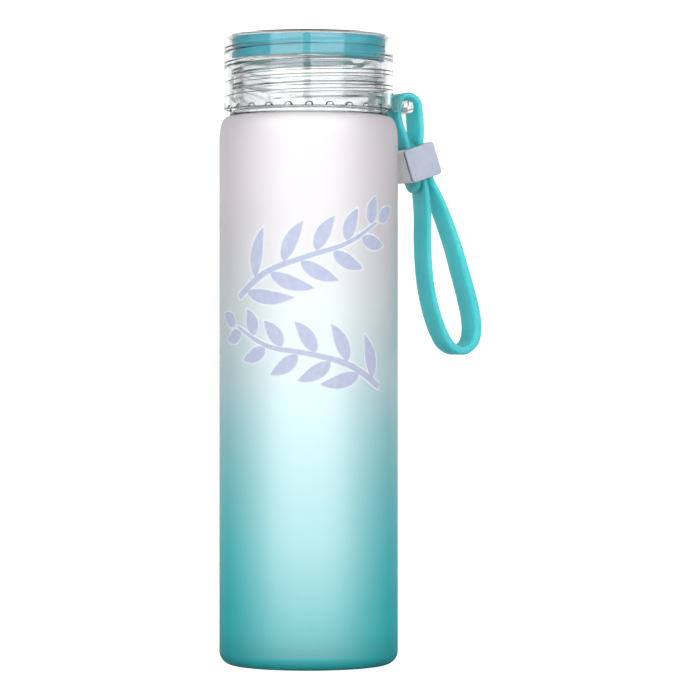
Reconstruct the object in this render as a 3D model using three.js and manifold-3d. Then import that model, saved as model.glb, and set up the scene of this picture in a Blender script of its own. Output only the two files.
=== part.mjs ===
// Glass water bottle with a clear screw cap, a silicone sealing ring and a wrist strap.
// Millimetres, +Z up. The origin is the centre of the base, on the bottle's axis. The strap's bar
// stands out of the cap along +X, so the strap lies in the XZ plane.
import * as THREE from 'three';
import { mergeVertices } from 'three/addons/utils/BufferGeometryUtils.js';
import Module from 'manifold-3d';

const wasm = await Module();
wasm.setup();

// Glass body
const BODY_RADIUS = 31.5;
const BODY_WALL = 2.8;
const RECESS_DEPTH = 0.8;
const RECESS_RADIUS = 23.6;
const FOOT_INNER_RADIUS = 24.6;
const FOOT_OUTER_RADIUS = 26.8;
const HEEL_RADIUS = BODY_RADIUS - FOOT_OUTER_RADIUS;
const FLOOR_THICKNESS = 4.6;
const INNER_HEEL_RADIUS = 6;
const SHOULDER_START = 183.5;
const SHOULDER_TOP = 193.1;
const SHOULDER_POWER = 2.6;
const BEAD_RADIUS = 28;
const BEAD_TOP = 194.8;
const NECK_RADIUS = 25.9;
const BORE_RADIUS = 23.4;
const BORE_START = 192.6;
const MOUTH_TOP = 212.3;
const LIP_ROUND = 0.8;

// Screw thread, right-handed. The neck's ridge and the cap's ridge lie half a pitch apart. The cap's
// ridge runs on at a lower height outside the sealing ring.
const PITCH = 5.2;
const NECK_CREST_RADIUS = 27.2;
const NECK_RIDGE = { root: 2.6, crest: 1.2 };
const THREAD_PHASE = 204.3 + (PITCH * 117) / 360;
const NECK_THREAD = { from: 198.8, to: 210 };
const CAP_CREST_RADIUS = 26.5;
const CAP_LOW_CREST_RADIUS = 27.65;
const CAP_RIDGE = { root: 2, crest: 1 };
const CAP_LOW_RIDGE = { root: 2.2, crest: 0.8 };
const CAP_THREAD = { from: 199.2, to: 209.5 };
const CAP_LOW_THREAD = { from: 208.9, to: 217.8 };
const CAP_PHASE = THREAD_PHASE - PITCH / 2;
const THREAD_LEAD_IN = 0.07;
const RIDGE_ROOTING = 0.9;

// Cap
const CAP_RADIUS = 29.9;
const CAP_INNER_RADIUS = 28.1;
const CAP_BOTTOM = 195.1;
const CAP_TOP = 221.4;
const CAP_ROUND = 1.8;
const CAP_TOP_THICKNESS = 1;
const CAP_CEILING = CAP_TOP - CAP_TOP_THICKNESS;
const SPIGOT_OUTER_RADIUS = 21.2;
const SPIGOT_INNER_RADIUS = 19.9;
const SPIGOT_BOTTOM = 214.4;
const SCALLOPS = 25;
const SCALLOP_START = THREE.MathUtils.degToRad(-0.8);
const SCALLOP_RADIUS = 1.5;
const SCALLOP_REACH = 29;

// Sealing ring
const CLEARANCE = 0.3;
const SEAL_OUTER_RADIUS = 27;
const SEAL_INNER_RADIUS = SPIGOT_OUTER_RADIUS + CLEARANCE;
const SEAL_BOTTOM = MOUTH_TOP + CLEARANCE;
const SEAL_TOP = CAP_CEILING - CLEARANCE / 2;
const SEAL_ROUND = 0.5;

// Lug on the cap: two arms and the bar that the strap hangs on
const BAR = { x: 36.4, z: 197.1, width: 3.6, height: 4.6, round: 1.6 };
const BAR_SLIT = { width: 0.5, bottom: 197.3 };
const ARM_INNER = 5.85;
const ARM_THICKNESS = 1.2;
const BAR_REACH = ARM_INNER + 0.5;
const ARM_ROOT_X = 28.7;
const ARM_ROOT = { bottom: 195.9, top: 201 };

// Strap: one band in the XZ plane, thicker in the hand loop than at its ends
const STRAP_WIDTH = 11.2;
const STRAP_THICKNESS = 2.1;
const STRAP_SWELL = 1;
const STRAP_SWELL_REACH = 48;
const STRAP_STEPS = 150;
const EYE = { x: 37.6, z: 197.1, radius: 4.45 };
const LAYER_PITCH = 2.5;

// Clip round the strap's three layers, tilted with its lower end outwards
const CLIP = { x: 41.9, z: 177.7, tilt: THREE.MathUtils.degToRad(18.5) };
const CLIP_WIDTH = 12.2;
const CLIP_HEIGHT = 12;
const CLIP_ROUND = 1.1;
const CHANNEL_WIDTH = 7.7;
const CHANNEL_BACK = STRAP_WIDTH / 2 + CLEARANCE;
const CLIP_BACK = CHANNEL_BACK + 1.3;
const COVER_LAND = 0.8;
const COVER_INNER = -(CHANNEL_BACK + COVER_LAND);
const COVER_THICKNESS = 1;

const ROUND_SEGMENTS = 48;
const TURN = 2 * Math.PI;

// Points of an arc, with angles in degrees.
function arc(x, y, radius, from, to, steps) {
  return Array.from({ length: steps + 1 }, (_, i) => {
    const angle = THREE.MathUtils.degToRad(from + ((to - from) * i) / steps);
    return [x + radius * Math.cos(angle), y + radius * Math.sin(angle)];
  });
}

// Outline of a rectangle with round corners, centred on x, y.
function roundedRectangle(x, y, width, height, round, steps = 3) {
  const dx = width / 2 - round;
  const dy = height / 2 - round;
  return [
    ...arc(x + dx, y + dy, round, 0, 90, steps),
    ...arc(x - dx, y + dy, round, 90, 180, steps),
    ...arc(x - dx, y - dy, round, 180, 270, steps),
    ...arc(x + dx, y - dy, round, 270, 360, steps),
  ];
}

// A closed mesh of merged vertices, without slivers and with its faces pointing out, as a solid.
function toSolid(geometry) {
  const bare = geometry.clone();
  bare.deleteAttribute('normal');
  bare.deleteAttribute('uv');
  const merged = mergeVertices(bare, 1e-4);
  const index = merged.index.array;
  const at = (i) => new THREE.Vector3().fromBufferAttribute(merged.attributes.position, i);
  const triangles = [];
  let volume = 0;
  for (let i = 0; i < index.length; i += 3) {
    const [a, b, c] = index.slice(i, i + 3);
    if (a === b || b === c || c === a) continue;
    triangles.push([a, b, c]);
    volume += at(a).dot(at(b).cross(at(c)));
  }
  const outward = volume > 0 ? triangles : triangles.map(([a, b, c]) => [a, c, b]);
  return new wasm.Manifold(new wasm.Mesh({
    numProp: 3,
    vertProperties: Float32Array.from(merged.attributes.position.array),
    triVerts: Uint32Array.from(outward.flat()),
  }));
}

function toGeometry(solid) {
  const mesh = solid.getMesh();
  const geometry = new THREE.BufferGeometry();
  geometry.setAttribute('position', new THREE.BufferAttribute(mesh.vertProperties, 3));
  geometry.setIndex(new THREE.BufferAttribute(mesh.triVerts, 1));
  geometry.computeVertexNormals();
  return geometry;
}

// A closed outline of [radius, height] points turned about +Z.
function turned(outline) {
  const points = outline.map(([r, z]) => new THREE.Vector2(r, z));
  if (outline[0][0] > 0) points.push(points[0].clone());
  return toSolid(new THREE.LatheGeometry(points, ROUND_SEGMENTS).rotateX(Math.PI / 2));
}

// An outline of [x, z] points, with a thickness from one y to another.
function plate(outline, fromY, toY) {
  const shape = new THREE.Shape(outline.map(([x, z]) => new THREE.Vector2(x, z)));
  const geometry = new THREE.ExtrudeGeometry(shape, { depth: toY - fromY, bevelEnabled: false });
  return toSolid(geometry.rotateX(Math.PI / 2).translate(0, toY, 0));
}

// A helical ridge of trapezoid section on a wall. It grows out of the wall from RIDGE_ROOTING behind
// the surface, so that it joins the wall, and sinks back into it over a short lead-in at each end.
// phase is the height at which the ridge's centre crosses the XZ plane.
function ridge({ wall, crest, widths, from, to }, phase) {
  const slope = (widths.root - widths.crest) / Math.abs(crest - wall);
  const rootRadius = wall + Math.sign(wall - crest) * RIDGE_ROOTING;
  const rootWidth = widths.root + slope * RIDGE_ROOTING;
  const turns = (to - from) / PITCH;
  const steps = Math.round(turns * ROUND_SEGMENTS);
  const positions = [];
  const index = [];
  for (let i = 0; i <= steps; i += 1) {
    const part = i / steps;
    const z = THREE.MathUtils.lerp(from, to, part);
    const angle = (TURN * (z - phase)) / PITCH;
    const turnsToEnd = Math.min(part, 1 - part) * turns;
    const height = THREE.MathUtils.smoothstep(turnsToEnd, -THREAD_LEAD_IN / 2, THREAD_LEAD_IN);
    const crestRadius = THREE.MathUtils.lerp(rootRadius, crest, height);
    const crestWidth = THREE.MathUtils.lerp(rootWidth, widths.crest, height);
    const corners = [
      [rootRadius, -rootWidth / 2],
      [crestRadius, -crestWidth / 2],
      [crestRadius, crestWidth / 2],
      [rootRadius, rootWidth / 2],
    ];
    for (const [r, dz] of corners) positions.push(r * Math.cos(angle), r * Math.sin(angle), z + dz);
    if (i === steps) break;
    for (let k = 0; k < 4; k += 1) {
      const [a, b] = [i * 4 + k, i * 4 + ((k + 1) % 4)];
      index.push(a, b, b + 4, a, b + 4, a + 4);
    }
  }
  const last = steps * 4;
  index.push(0, 2, 1, 0, 3, 2, last, last + 1, last + 2, last, last + 2, last + 3);
  const geometry = new THREE.BufferGeometry();
  geometry.setAttribute('position', new THREE.Float32BufferAttribute(positions, 3));
  geometry.setIndex(index);
  return toSolid(geometry);
}

// The outside of the shoulder, or the inside of it at a smaller radius: a soft quarter round that
// leaves the straight wall at SHOULDER_START.
function shoulder(outer, inner, bottom, top, steps) {
  return Array.from({ length: steps + 1 }, (_, i) => {
    const angle = (Math.PI / 2) * (i / steps);
    const across = Math.cos(angle) ** (2 / SHOULDER_POWER);
    const up = Math.sin(angle) ** (2 / SHOULDER_POWER);
    return [inner + (outer - inner) * across, bottom + (top - bottom) * up];
  });
}

function glassBottle() {
  const inside = BODY_RADIUS - BODY_WALL;
  const outline = [
    [0, RECESS_DEPTH],
    [RECESS_RADIUS, RECESS_DEPTH],
    [FOOT_INNER_RADIUS, 0],
    ...arc(FOOT_OUTER_RADIUS, HEEL_RADIUS, HEEL_RADIUS, -90, 0, 5),
    ...shoulder(BODY_RADIUS, BEAD_RADIUS - 0.8, SHOULDER_START, SHOULDER_TOP, 7),
    [BEAD_RADIUS, SHOULDER_TOP + 0.5],
    [BEAD_RADIUS, BEAD_TOP - 0.5],
    [BEAD_RADIUS - 0.6, BEAD_TOP],
    [NECK_RADIUS, BEAD_TOP + 0.4],
    ...arc(NECK_RADIUS - LIP_ROUND, MOUTH_TOP - LIP_ROUND, LIP_ROUND, 0, 90, 2),
    ...arc(BORE_RADIUS + LIP_ROUND, MOUTH_TOP - LIP_ROUND, LIP_ROUND, 90, 180, 2),
    ...shoulder(inside, BORE_RADIUS, SHOULDER_START, BORE_START, 5).reverse(),
    ...arc(inside - INNER_HEEL_RADIUS, FLOOR_THICKNESS + INNER_HEEL_RADIUS, INNER_HEEL_RADIUS, 0, -90, 4),
    [0, FLOOR_THICKNESS],
  ];
  const thread = { wall: NECK_RADIUS, crest: NECK_CREST_RADIUS, widths: NECK_RIDGE, ...NECK_THREAD };
  return turned(outline).add(ridge(thread, THREAD_PHASE));
}

// One of the half-round notches inside the skirt's lower edge, at an angle about +Z.
function scallop(angle) {
  const start = CAP_INNER_RADIUS - 0.8;
  const geometry = new THREE.CylinderGeometry(SCALLOP_RADIUS, SCALLOP_RADIUS, SCALLOP_REACH - start, 10);
  geometry.rotateZ(Math.PI / 2).translate((SCALLOP_REACH + start) / 2, 0, CAP_BOTTOM);
  return toSolid(geometry.rotateZ(angle));
}

// One arm of the lug, from the skirt to the bar's end, on the +Y side or the -Y side.
function lugArm(side) {
  const end = BAR.x + BAR.width / 2 - BAR.round;
  const outline = [
    [ARM_ROOT_X, ARM_ROOT.bottom],
    ...arc(end, BAR.z - BAR.height / 2 + BAR.round, BAR.round, -90, 0, 3),
    ...arc(end, BAR.z + BAR.height / 2 - BAR.round, BAR.round, 0, 90, 3),
    [BAR.x - BAR.width / 2, BAR.z + BAR.height / 2],
    [ARM_ROOT_X, ARM_ROOT.top],
  ];
  const [near, far] = [ARM_INNER * side, (ARM_INNER + ARM_THICKNESS) * side];
  return plate(outline, Math.min(near, far), Math.max(near, far));
}

function cap() {
  const outline = [
    [0, CAP_TOP],
    ...arc(CAP_RADIUS - CAP_ROUND, CAP_TOP - CAP_ROUND, CAP_ROUND, 90, 0, 3),
    [CAP_RADIUS, CAP_BOTTOM + 0.5],
    [CAP_RADIUS - 0.5, CAP_BOTTOM],
    [CAP_INNER_RADIUS, CAP_BOTTOM],
    [CAP_INNER_RADIUS, CAP_CEILING - 0.6],
    [CAP_INNER_RADIUS - 0.6, CAP_CEILING],
    [SPIGOT_OUTER_RADIUS, CAP_CEILING],
    [SPIGOT_OUTER_RADIUS, SPIGOT_BOTTOM],
    [SPIGOT_INNER_RADIUS, SPIGOT_BOTTOM],
    [SPIGOT_INNER_RADIUS, CAP_CEILING],
    [0, CAP_CEILING],
  ];
  const wall = CAP_INNER_RADIUS;
  const ridges = [
    ridge({ wall, crest: CAP_CREST_RADIUS, widths: CAP_RIDGE, ...CAP_THREAD }, CAP_PHASE),
    ridge({ wall, crest: CAP_LOW_CREST_RADIUS, widths: CAP_LOW_RIDGE, ...CAP_LOW_THREAD }, CAP_PHASE),
  ];
  const slit = roundedRectangle(BAR.x, BAR_SLIT.bottom + BAR.height / 2, BAR_SLIT.width, BAR.height, 0.2, 1);
  const bar = plate(roundedRectangle(BAR.x, BAR.z, BAR.width, BAR.height, BAR.round), -BAR_REACH, BAR_REACH)
    .subtract(plate(slit, -ARM_INNER, ARM_INNER));
  let solid = ridges.reduce((whole, one) => whole.add(one), turned(outline));
  for (let i = 0; i < SCALLOPS; i += 1) {
    solid = solid.subtract(scallop(SCALLOP_START + (TURN * i) / SCALLOPS));
  }
  return solid.add(lugArm(1)).add(lugArm(-1)).add(bar);
}

function sealRing() {
  return turned([
    ...arc(SEAL_INNER_RADIUS + SEAL_ROUND, SEAL_BOTTOM + SEAL_ROUND, SEAL_ROUND, 180, 270, 2),
    ...arc(SEAL_OUTER_RADIUS - SEAL_ROUND, SEAL_BOTTOM + SEAL_ROUND, SEAL_ROUND, 270, 360, 2),
    ...arc(SEAL_OUTER_RADIUS - SEAL_ROUND, SEAL_TOP - SEAL_ROUND, SEAL_ROUND, 0, 90, 2),
    ...arc(SEAL_INNER_RADIUS + SEAL_ROUND, SEAL_TOP - SEAL_ROUND, SEAL_ROUND, 90, 180, 2),
  ]);
}

// A point in the clip: across it and up it from its centre, as [x, z] in the strap's plane.
function inClip(across, up) {
  const [c, s] = [Math.cos(CLIP.tilt), Math.sin(CLIP.tilt)];
  return [CLIP.x + across * c - up * s, CLIP.z + across * s + up * c];
}

// One of the strap's three straight layers through the clip, from its bottom to its top.
function layer(place) {
  const reach = CLIP_HEIGHT / 2 + 0.4;
  return [-reach, 0, reach].map((up) => inClip(place * LAYER_PITCH, up));
}

// The strap's centre line, from its outer end up round the bar, down into the hand loop and back up
// to its inner end, which stops just above the clip.
function strapRoute() {
  const handLoop = [
    [50.2, 165.7], [53.3, 159.4], [57.9, 147.9], [60.5, 139.8], [63.1, 131.6], [65, 124.4],
    [65.7, 118.4], [64.5, 113.4], [60, 110.4], [55.1, 112.5], [51.7, 117.8], [49.2, 124.2],
    [47.3, 131.3], [46.1, 139.6], [45.5, 150], [45.5, 159.6],
  ];
  return [
    [41.9, 166.9],
    ...layer(-1),
    [36.2, 186.6],
    [34.3, 191.2],
    ...arc(EYE.x, EYE.z, EYE.radius, 195, -5, 8),
    [42.6, 191.2],
    [42.6, 187.2],
    ...layer(1).reverse(),
    ...handLoop,
    [44.8, 167.4],
    ...layer(0),
    inClip(0, CLIP_HEIGHT / 2 + 2),
  ];
}

function strap() {
  const route = new THREE.CatmullRomCurve3(strapRoute().map(([x, z]) => new THREE.Vector3(x, 0, z)));
  const length = route.getLength();
  const middle = length * 0.56;
  const sides = [[], []];
  for (let i = 0; i <= STRAP_STEPS; i += 1) {
    const point = route.getPointAt(i / STRAP_STEPS);
    const along = route.getTangentAt(i / STRAP_STEPS);
    const off = Math.min(Math.abs((length * i) / STRAP_STEPS - middle) / STRAP_SWELL_REACH, 1);
    const half = (STRAP_THICKNESS + STRAP_SWELL * (0.5 + 0.5 * Math.cos(Math.PI * off))) / 2;
    sides[0].push([point.x - along.z * half, point.z + along.x * half]);
    sides[1].unshift([point.x + along.z * half, point.z - along.x * half]);
  }
  return plate(sides.flat(), -STRAP_WIDTH / 2, STRAP_WIDTH / 2);
}

// The clip's pieces are drawn upright about their own centre and placed by their group.
function clipBase() {
  const outside = roundedRectangle(0, 0, CLIP_WIDTH, CLIP_HEIGHT, CLIP_ROUND);
  const channel = roundedRectangle(0, 0, CHANNEL_WIDTH, CLIP_HEIGHT + 2, 0.2, 1);
  return plate(outside, -CHANNEL_BACK, CLIP_BACK).subtract(plate(channel, -CHANNEL_BACK - 1, CHANNEL_BACK));
}

function clipCover() {
  const face = roundedRectangle(0, 0, CLIP_WIDTH, CLIP_HEIGHT, CLIP_ROUND);
  const land = roundedRectangle(0, 0, CHANNEL_WIDTH - 2 * CLEARANCE, CLIP_HEIGHT - 1.2, 0.4, 1);
  return plate(face, COVER_INNER - COVER_THICKNESS, COVER_INNER)
    .add(plate(land, COVER_INNER - 0.2, COVER_INNER + COVER_LAND));
}

const clearGlass = new THREE.MeshStandardMaterial({ color: '#cdeceb', roughness: 0.25, metalness: 0 });
const clearPlastic = new THREE.MeshStandardMaterial({ color: '#eef3f4', roughness: 0.05, metalness: 0 });
const tealSilicone = new THREE.MeshStandardMaterial({ color: '#4cc0cc', roughness: 0.5, metalness: 0 });
const sealSilicone = new THREE.MeshStandardMaterial({ color: '#3fb6c6', roughness: 0.4, metalness: 0 });
const lilacPlastic = new THREE.MeshStandardMaterial({ color: '#c3c3d6', roughness: 0.45, metalness: 0 });

function part(name, solid, material) {
  const mesh = new THREE.Mesh(toGeometry(solid), material);
  mesh.name = name;
  return mesh;
}

const clip = new THREE.Group();
clip.position.set(CLIP.x, 0, CLIP.z);
clip.rotation.y = -CLIP.tilt;
clip.add(part('clip_base', clipBase(), lilacPlastic), part('clip_cover', clipCover(), lilacPlastic));

const bottle = new THREE.Group();
bottle.add(
  part('glass_bottle', glassBottle(), clearGlass),
  part('cap', cap(), clearPlastic),
  part('seal_ring', sealRing(), sealSilicone),
  part('strap', strap(), tealSilicone),
  clip,
);

export default bottle;
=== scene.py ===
"""Frosted glass water bottle with a clear screw cap, a sealing ring and a silicone wrist strap.

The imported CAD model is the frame. Each of its nodes is replaced by a finer mesh on the same body, in
the same place, with a procedural material. Sizes are written in millimetres and made into metres by
the mesh builders. The origin is the centre of the base, +Z is up, and the strap hangs on the +X side.
"""
import math

import bmesh
import bpy
import numpy as np
from mathutils import Matrix, Vector


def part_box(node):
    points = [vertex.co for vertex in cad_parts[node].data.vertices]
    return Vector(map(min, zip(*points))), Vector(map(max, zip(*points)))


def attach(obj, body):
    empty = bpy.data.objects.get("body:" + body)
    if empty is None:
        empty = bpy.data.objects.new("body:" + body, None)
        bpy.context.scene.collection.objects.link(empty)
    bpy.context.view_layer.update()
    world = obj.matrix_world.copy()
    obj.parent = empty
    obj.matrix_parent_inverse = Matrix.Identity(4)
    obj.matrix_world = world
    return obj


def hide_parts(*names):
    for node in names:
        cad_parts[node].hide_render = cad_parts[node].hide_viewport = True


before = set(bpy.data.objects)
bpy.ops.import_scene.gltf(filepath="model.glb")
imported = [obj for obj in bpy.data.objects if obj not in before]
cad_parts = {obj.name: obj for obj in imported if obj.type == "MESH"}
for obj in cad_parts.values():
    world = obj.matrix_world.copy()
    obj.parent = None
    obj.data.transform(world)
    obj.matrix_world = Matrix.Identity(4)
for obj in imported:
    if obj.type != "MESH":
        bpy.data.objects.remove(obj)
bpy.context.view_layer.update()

MM = 0.001
TURN = 2 * math.pi

# Mesh detail: faces round each turned piece, steps across a bevel, and in degrees the least turn that
# leaves an edge sharp and the least turn that soften() rounds over
GLASS_STEPS = 384
CAP_STEPS = 576
SEAL_STEPS = 256
BEVEL_STEPS = 3
CREASE = 32
SOFTENED = 40


def box_mm(node):
    """A CAD node's lowest and highest corners, in millimetres."""
    low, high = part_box(node)
    return low / MM, high / MM


# Glass body: the overall sizes come from the frame, the rest repeats the CAD model's dimensions.
GLASS_HIGH = box_mm("glass_bottle")[1]
BODY_RADIUS = GLASS_HIGH.y
MOUTH_TOP = GLASS_HIGH.z
BODY_WALL = 2.8
RECESS_DEPTH = 0.8
RECESS_RADIUS = 23.6
FOOT_INNER_RADIUS = 24.6
FOOT_OUTER_RADIUS = 26.8
HEEL_RADIUS = BODY_RADIUS - FOOT_OUTER_RADIUS
FLOOR_THICKNESS = 4.6
INNER_HEEL_RADIUS = 6
SHOULDER_START = 183.5
SHOULDER_TOP = 193.1
SHOULDER_POWER = 2.6
BEAD_RADIUS = 28
BEAD_TOP = 194.8
NECK_RADIUS = 25.9
BORE_RADIUS = 23.4
BORE_START = 192.6
LIP_ROUND = 0.8

# Frosted coat: it ends at COAT_TOP, and fades through (share of that height, colour) stops. Its sheen
# grows over the lowest GLOSS_RISE, weakens across GLOSS_FALL to GLOSS_TOP of its strength, and ends
# where the surface has turned away by GLOSS_EDGE.
COAT_TOP = 192.6
COAT_FADE = [
    (0.0, "#00aab0"), (0.03, "#00c0c5"), (0.06, "#04cdd0"), (0.11, "#0cd0d5"), (0.22, "#44d7de"),
    (0.325, "#74dadf"), (0.43, "#9ce0e6"), (0.52, "#c6e6eb"), (0.66, "#dde6e9"), (0.8, "#e4dfe4"),
    (1.0, "#e5dee3"),
]
GLOSS_RISE = 45
GLOSS_FALL = (90, 140)
GLOSS_TOP = 0.5
GLOSS_EDGE = 0.58

# Screw thread, right-handed. The cap's ridge lies half a pitch from the neck's, and the low thread
# carries it on upwards. RIDGE_SOFT is how far a ridge's flanks are rounded.
PITCH = 5.2
THREAD_PHASE = 204.3 + PITCH * 117 / 360
NECK_THREAD = {"height": 1.3, "root": 2.3, "crest": 1.3, "from": 198.8, "to": 210}
CAP_THREAD = {"height": 1.6, "root": 2.0, "crest": 1.0, "from": 199.2, "to": 209.5}
CAP_LOW_THREAD = {"height": 0.3, "root": 2.0, "crest": 0.8, "from": 208.9, "to": 217.8}
CAP_PHASE = THREAD_PHASE - PITCH / 2
THREAD_LEAD_IN = 0.07
RIDGE_SOFT = 0.4
FLANK_STEPS = 5
WALL_STEPS = 4
BAND_MARGIN = 0.05

# Cap. The notches in its lower edge lie between CAP_BOTTOM and NOTCH_TOP.
CAP_HIGH = box_mm("cap")[1]
CAP_BOTTOM = 195.1
CAP_TOP = CAP_HIGH.z
CAP_RADIUS = CAP_HIGH.y
CAP_INNER_RADIUS = 28.1
CAP_ROUND = 1.8
CAP_TOP_THICKNESS = 1
CAP_CEILING = CAP_TOP - CAP_TOP_THICKNESS
SPIGOT_OUTER_RADIUS = 21.2
SPIGOT_INNER_RADIUS = 19.9
SPIGOT_BOTTOM = 214.4
SCALLOPS = 25
SCALLOP_START = math.radians(-0.8)
SCALLOP_RADIUS = 1.5
SCALLOP_REACH = 29
SCALLOP_FLANK = 0.35
SCALLOP_ROW = 0.17
NOTCH_TOP = CAP_BOTTOM + 2.0

# Sealing ring
SEAL_LOW, SEAL_HIGH = box_mm("seal_ring")
SEAL_RADIUS = SEAL_HIGH.y
SEAL_INNER_RADIUS = 21.5
SEAL_ROUND = 0.5
SEAL_GROOVE = {"z": 216.8, "width": 0.6, "depth": 0.6}

# Lug on the cap: two arms and the bar that the strap hangs on
BAR = {"x": 36.4, "z": 197.1, "width": 3.6, "height": 4.6, "round": 1.6}
BAR_SLIT = {"width": 0.5, "bottom": 197.3}
ARM_INNER = 5.85
ARM_THICKNESS = 1.2
ARM_ROUND = 0.3
ARM_ROOT_X = 28.7
ARM_ROOT_BOTTOM, ARM_ROOT_TOP = 195.9, 201
BAR_REACH = ARM_INNER + 0.5

# Strap: it swells in the hand loop, STRAP_SWELL_PLACE of the way along, and ends in rounded tongues.
# STRAP_SOFT and STRAP_ROUND are the two radii of its section's corners, across and through it.
STRAP_LOW, STRAP_HIGH = box_mm("strap")
STRAP_WIDTH = STRAP_HIGH.y - STRAP_LOW.y
STRAP_THICKNESS = 2.1
STRAP_SWELL = 1
STRAP_SWELL_REACH = 48
STRAP_SWELL_PLACE = 0.56
STRAP_ROUND = 0.9
STRAP_SOFT = 1.3
STRAP_END_ROUND = 0.7
STRAP_END_LEAST = 0.3
STRAP_STEPS = 420
STRAP_SLOPE_REACH = 0.3
EYE = {"x": 37.6, "z": 197.1, "radius": 4.45}
LAYER_PITCH = 2.5

# Clip. The cover's land is set in from its edge, and stands off the base by LAND_GAP. Its dark colour is
# painted shade along the seam between cover and base.
CLEARANCE = 0.3
CLIP = {"x": 41.9, "z": 177.7, "tilt": math.radians(18.5)}
CLIP_WIDTH = 12.2
CLIP_HEIGHT = 12
CLIP_ROUND = 1.1
CHANNEL_WIDTH = 7.7
CLIP_WALL = 1.3
CHANNEL_BACK = STRAP_WIDTH / 2 + CLEARANCE
CLIP_BACK = CHANNEL_BACK + CLIP_WALL
CLIP_BASE_SOFT = 0.22
COVER_LAND = 0.8
COVER_THICKNESS = 1
CLIP_COVER_SOFT = 0.3
LAND_INSET = 0.15
LAND_ROOT = 0.2
LAND_GAP = 0.08

# Print: two leafy sprigs, drawn flat as (across, up) points and wrapped on the body. Across is
# measured along the surface from the print's middle, whose direction is given as an angle from +X.
PRINT_ANGLE = math.radians(-117)
SPRIGS = [
    {"stem": [(-27, 129), (-15, 137.5), (0, 143), (14, 147.5), (27, 155)], "length": (19, 9.5)},
    {"stem": [(28, 98), (15, 105.5), (0, 109.5), (-14, 112), (-28, 119)], "length": (16, 8.5)},
]
SPRIG_LEAVES = 10
LEAF_WIDTH = 5.0
LEAF_LEAN = math.radians(50)
LEAF_CURL = math.radians(26)
LEAF_GAP = 1.3
LEAF_STEPS = 22
STEM_WIDTH = 2.4
STEM_STEPS = 12
INK_DEPTH = 0.05
OUTLINE_DEPTH = 0.02
OUTLINE_MARGIN = 0.45
INK_GAP = 0.005   # keeps each layer of ink clear of what is under it
STROKE_LEAST = 0.08
STROKE_COLUMNS = 9

# Camera: it stands level, a little to the strap's side of straight on
VIEW_AZIMUTH = math.radians(-27)
VIEW_DISTANCE = 1.2
VIEW_HEIGHT = 0.1107
VIEW_OFFSET = 0.0146
VIEW_LENS = 174.86

# Studio, in metres. The floor's glow runs from none at one distance to its full strength at another.
# The surroundings' light is the product of two ramps: by height, from level to overhead, and by
# bearing, from the camera's side to behind the bottle.
SOFTBOX_DISTANCE = 1.0
SOFTBOX_HEIGHT = 0.3
SOFTBOX_SIZE = (0.85, 1.3)
SOFTBOX_RADIANCE = 1.9
LIGHT_AIM_HEIGHT = 0.11
FLOOR_REACH = 30
FLOOR_GLOW = (0.15, 0.8, 0.0, 0.85)
LIGHT_BY_HEIGHT = [(0.0, 1.0), (0.4, 1.0), (0.7, 0.75), (1.0, 0.75)]
LIGHT_BY_BEARING = [(0.0, 1.0), (0.4, 0.85), (0.52, 0.33), (0.84, 0.33), (0.93, 1.25), (1.0, 1.25)]


# ---------------------------------------------------------------- outlines

def arc(x, y, radius, start, end, steps):
    """Points of an arc, with angles in degrees."""
    angles = [math.radians(start + (end - start) * i / steps) for i in range(steps + 1)]
    return [(x + radius * math.cos(a), y + radius * math.sin(a)) for a in angles]


def rounded_rectangle(x, y, width, height, radius, steps=6):
    """Outline of a rectangle with round corners, centred on x, y."""
    dx, dy = width / 2 - radius, height / 2 - radius
    return (arc(x + dx, y + dy, radius, 0, 90, steps) + arc(x - dx, y + dy, radius, 90, 180, steps)
            + arc(x - dx, y - dy, radius, 180, 270, steps) + arc(x + dx, y - dy, radius, 270, 360, steps))


def soft_rectangle(width, height, across, up, steps=5):
    """Outline of a centred rectangle whose corners are quarters of an ellipse."""
    dx, dy = width / 2 - across, height / 2 - up
    quarters = [(dx, dy, 0), (-dx, dy, 90), (-dx, -dy, 180), (dx, -dy, 270)]
    return [(x + across * px, y + up * py)
            for x, y, start in quarters for px, py in arc(0, 0, 1, start, start + 90, steps)]


def shoulder(outer, inner, bottom, top, steps):
    """A soft quarter round that leaves the straight wall at its bottom."""
    angles = [math.pi / 2 * i / steps for i in range(steps + 1)]
    power = 2 / SHOULDER_POWER
    return [(inner + (outer - inner) * max(math.cos(a), 0) ** power,
             bottom + (top - bottom) * math.sin(a) ** power) for a in angles]


def line(start, end, steps):
    """Points evenly spaced from start up to, and without, end."""
    return [(start[0] + (end[0] - start[0]) * i / steps, start[1] + (end[1] - start[1]) * i / steps)
            for i in range(steps)]


# ---------------------------------------------------------------- meshes

def new_piece(name, points, faces, materials, slots=None, crease=CREASE):
    """A mesh object from points in millimetres, with its faces pointing out of its closed shell."""
    mesh = bpy.data.meshes.new(name)
    mesh.from_pydata(np.asarray(points) * MM, [], faces)
    if slots is not None:
        mesh.polygons.foreach_set("material_index", slots)
    shell = bmesh.new()
    shell.from_mesh(mesh)
    if shell.calc_volume(signed=True) < 0:
        bmesh.ops.reverse_faces(shell, faces=shell.faces)
    shell.to_mesh(mesh)
    shell.free()
    for material in materials:
        mesh.materials.append(material)
    obj = bpy.data.objects.new(name, mesh)
    bpy.context.scene.collection.objects.link(obj)
    smooth(obj, crease)
    return obj


def smooth(obj, crease=CREASE):
    """Smooth shading, with the edges that turn by more than crease degrees left sharp."""
    obj.data.shade_smooth()
    obj.data.set_sharp_from_angle(angle=math.radians(crease))


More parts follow.
